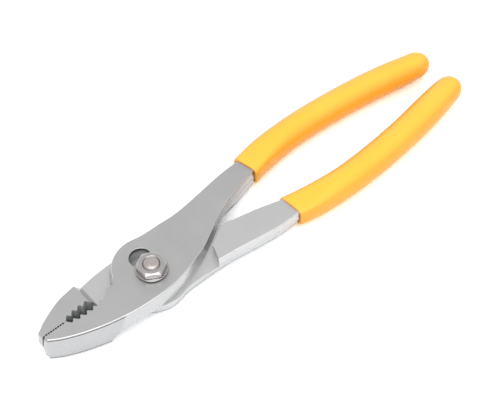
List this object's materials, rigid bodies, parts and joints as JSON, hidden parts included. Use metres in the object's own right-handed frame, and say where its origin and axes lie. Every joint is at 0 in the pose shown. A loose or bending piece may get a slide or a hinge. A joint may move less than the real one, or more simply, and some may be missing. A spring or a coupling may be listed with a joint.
{
  "type": "slip joint pliers",
  "caption": "Slip joint pliers: two half-lapped forged levers with serrated jaws on a bolt in a two-position slot, with curved dipped grips.",
  "frame": {"origin": "on the pivot axis, at the flat back of the bolt's head", "axes": "+X from the jaws to the handles, +Y towards the slotted lever's handle, +Z along the pivot from the bolt's head to the nut"},
  "size_m": [0.2001, 0.0446, 0.0169],
  "materials": {
    "forged_steel": "satin chrome plating on forged steel",
    "fastener_steel": "bright plating",
    "grip_vinyl": "smooth dipped vinyl"
  },
  "bodies": {
    "slotted_half": {"slotted_lever": "forged_steel", "slotted_lever_grip": "grip_vinyl"},
    "pivot_pin": {"pivot_bolt": "fastener_steel", "pivot_nut": "fastener_steel", "pivot_washer": "fastener_steel"},
    "pivot_half": {"pivot_lever": "forged_steel", "pivot_lever_grip": "grip_vinyl"}
  },
  "joints": [
    {"name": "slip", "type": "hinge", "parent": "slotted_half", "child": "pivot_pin", "pos_m": [0.02348, 0.0033, 0.00674], "axis": [0, 0, -1], "range_deg": [0, 16]},
    {"name": "opening", "type": "hinge", "parent": "pivot_pin", "child": "pivot_half", "pos_m": [0, 0, 0], "axis": [0, 0, -1], "range_deg": [0, 50]}
  ]
}
